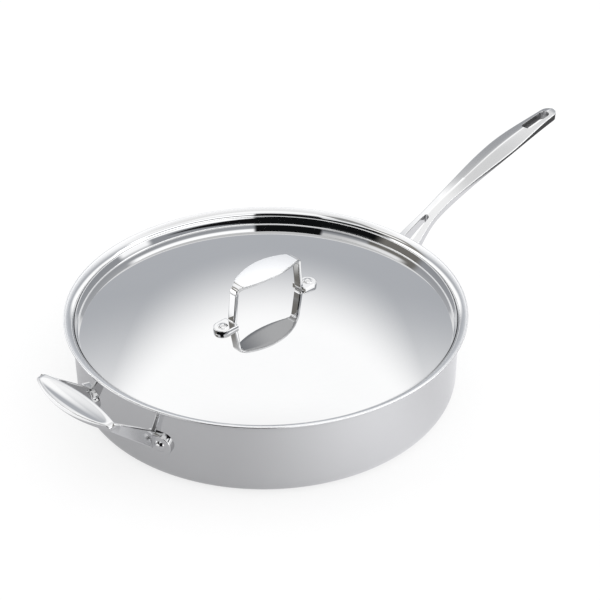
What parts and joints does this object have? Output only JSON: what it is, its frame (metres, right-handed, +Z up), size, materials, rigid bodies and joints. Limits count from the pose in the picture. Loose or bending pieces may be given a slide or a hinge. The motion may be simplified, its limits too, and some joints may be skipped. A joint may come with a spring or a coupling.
{
  "type": "saute pan with lid",
  "caption": "Wide straight-sided steel saute pan with a long riveted handle, a helper loop handle and a lift-off recessed lid with a strap handle.",
  "frame": {"origin": "centre of the flat underside of the base", "axes": "+Z up along the pan's axis; +X towards the long handle's tip; the helper handle is on -X"},
  "size_m": [0.607, 0.3358, 0.1214],
  "materials": {
    "outer_steel": "polished stainless steel",
    "core_aluminium": "mill aluminium, sealed between the steel plies",
    "liner_steel": "polished stainless steel",
    "lid_steel": "mirror-polished stainless steel",
    "handle_steel": "polished cast stainless steel",
    "rivet_steel": "polished stainless steel"
  },
  "bodies": {
    "pan": {"pan_outer_skin": "outer_steel", "pan_core": "core_aluminium", "pan_inner_liner": "liner_steel", "long_handle": "handle_steel", "long_handle_rivet_left": "rivet_steel", "long_handle_rivet_right": "rivet_steel", "helper_handle": "handle_steel", "helper_rivet_left": "rivet_steel", "helper_rivet_right": "rivet_steel"},
    "lid": {"lid_shell": "lid_steel", "lid_handle": "handle_steel", "lid_rivet_left": "rivet_steel", "lid_rivet_right": "rivet_steel"}
  },
  "joints": [
    {"name": "lid_lift", "type": "slide", "parent": "pan", "child": "lid", "axis": [0, 0, 1], "range_m": [0, 0.12]}
  ]
}
